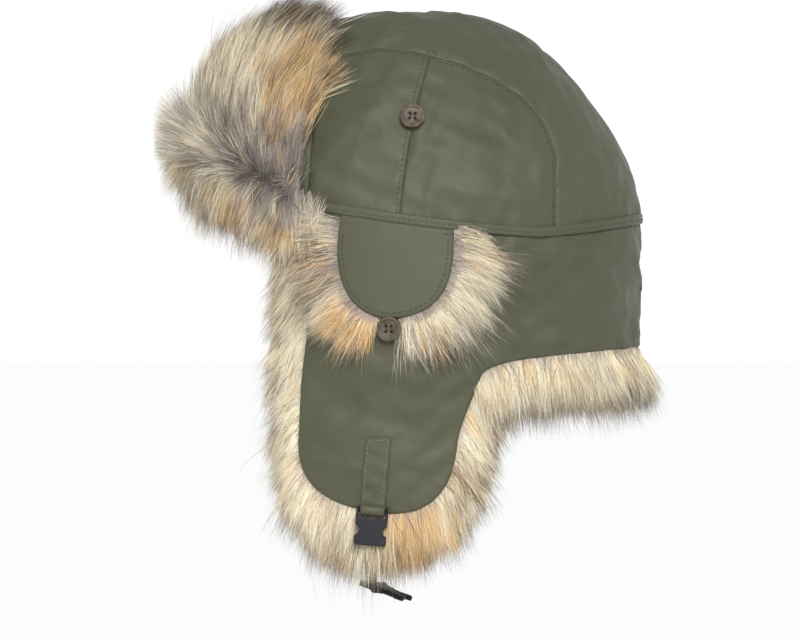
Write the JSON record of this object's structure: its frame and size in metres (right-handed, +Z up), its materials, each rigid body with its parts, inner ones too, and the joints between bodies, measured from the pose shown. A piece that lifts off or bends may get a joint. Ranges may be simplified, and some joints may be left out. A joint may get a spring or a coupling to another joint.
{
  "type": "trapper hat",
  "caption": "Trapper hat with a panelled crown, upturned fur visor, fur-lined ear flaps and neck, buttoned ear vents and a buckled chin strap.",
  "frame": {"origin": "middle of the head opening, level with the seam between crown and skirt", "axes": "+Z up, -Y the way the wearer faces, +X the wearer's left"},
  "size_m": [0.2056, 0.2794, 0.3572],
  "materials": {
    "nylon_shell": "satin",
    "nylon_trim": "satin",
    "faux_fur": "matte",
    "wadding": "matte",
    "lining_satin": "satin",
    "band_tape": "matte",
    "button_plastic": "satin",
    "thread": "matte",
    "buckle_plastic": "satin",
    "foam": "matte",
    "elastic": "matte"
  },
  "bodies": {
    "crown": {"crown_side_front_left": "nylon_shell", "crown_side_rear_left": "nylon_shell", "crown_side_front_right": "nylon_shell", "crown_side_rear_right": "nylon_shell", "crown_top_panel": "nylon_shell", "crown_wadding_left": "wadding", "crown_wadding_right": "wadding", "crown_wadding_top": "wadding", "crown_lining": "lining_satin", "inner_head_band": "band_tape", "hem_welt": "nylon_trim", "skirt_shell": "nylon_shell", "skirt_fur": "faux_fur", "forehead_fur": "faux_fur", "back_tab": "band_tape", "crown_button_left": "button_plastic", "crown_button_right": "button_plastic", "vent_button_left": "button_plastic", "vent_button_right": "button_plastic", "crown_button_thread_left": "thread", "crown_button_thread_right": "thread", "vent_button_thread_left": "thread", "vent_button_thread_right": "thread"},
    "visor": {"visor_shell": "nylon_shell", "visor_stiffener": "foam", "visor_fur": "faux_fur"},
    "ear_flap_left": {"ear_flap_shell_left": "nylon_shell", "ear_flap_fur_left": "faux_fur", "strap_left": "nylon_trim"},
    "ear_flap_right": {"ear_flap_shell_right": "nylon_shell", "ear_flap_fur_right": "faux_fur", "strap_right": "nylon_trim"},
    "vent_flap_left": {"vent_flap_shell_left": "nylon_shell", "vent_flap_fur_left": "faux_fur", "vent_loop_left": "elastic"},
    "vent_flap_right": {"vent_flap_shell_right": "nylon_shell", "vent_flap_fur_right": "faux_fur", "vent_loop_right": "elastic"},
    "female_half": {"buckle_female": "buckle_plastic"},
    "tail": {"strap_tail": "nylon_trim"},
    "tail_loop": {"strap_loop": "nylon_trim"},
    "male_half": {"buckle_male": "buckle_plastic"},
    "prong_near": {"buckle_prong_near": "buckle_plastic"},
    "prong_far": {"buckle_prong_far": "buckle_plastic"}
  },
  "joints": [
    {"name": "visor_turn_down", "type": "hinge", "parent": "crown", "child": "visor", "pos_m": [0, -0.072, 0.009], "axis": [1, 0, 0], "range_deg": [0, 60]},
    {"name": "ear_flap_left_fold", "type": "hinge", "parent": "crown", "child": "ear_flap_left", "pos_m": [0.093, -0.0246, -0.092], "axis": [-0.1563, -0.9877, 0], "range_deg": [-12, 150]},
    {"name": "ear_flap_right_fold", "type": "hinge", "parent": "crown", "child": "ear_flap_right", "pos_m": [-0.093, -0.0246, -0.092], "axis": [-0.1563, 0.9877, 0], "range_deg": [-12, 150]},
    {"name": "ear_vent_left_lift", "type": "hinge", "parent": "crown", "child": "vent_flap_left", "pos_m": [0.098, -0.019, 0.0002], "axis": [-0.124, -0.9829, 0.1358], "range_deg": [0, 172]},
    {"name": "ear_vent_right_lift", "type": "hinge", "parent": "crown", "child": "vent_flap_right", "pos_m": [-0.098, -0.019, 0.0002], "axis": [-0.124, 0.9829, -0.1358], "range_deg": [0, 172]},
    {"name": "female_buckle_swing", "type": "hinge", "parent": "ear_flap_left", "child": "female_half", "pos_m": [0.09033, -0.033, -0.173], "axis": [0, -0.9962, 0.0872], "range_deg": [-5, 150]},
    {"name": "strap_tail_swing", "type": "hinge", "parent": "ear_flap_right", "child": "tail", "pos_m": [-0.08778, -0.0334, -0.1788], "axis": [0, 1, 0], "range_deg": [-5, 110]},
    {"name": "strap_adjust", "type": "slide", "parent": "tail", "child": "tail_loop", "axis": [0, 0, 1], "range_m": [0, 0.016]},
    {"name": "male_buckle_tilt", "type": "hinge", "parent": "tail_loop", "child": "male_half", "pos_m": [-0.08491, -0.02914, -0.222], "axis": [0.9272, -0.3746, 0], "range_deg": [-10, 50]},
    {"name": "prong_near_squeeze", "type": "hinge", "parent": "male_half", "child": "prong_near", "pos_m": [-0.07676, -0.02604, -0.22415], "axis": [0.1281, 0.3171, 0.9397], "range_deg": [0, 8], "stiffness_Nm_per_rad": 0.05},
    {"name": "prong_far_squeeze", "type": "hinge", "parent": "male_half", "child": "prong_far", "pos_m": [-0.08862, -0.02125, -0.22415], "axis": [0.1281, 0.3171, 0.9397], "range_deg": [-8, 0], "stiffness_Nm_per_rad": 0.05}
  ],
  "couplings": [
    {"joint": "prong_far_squeeze", "follows": "prong_near_squeeze", "ratio": -1}
  ]
}
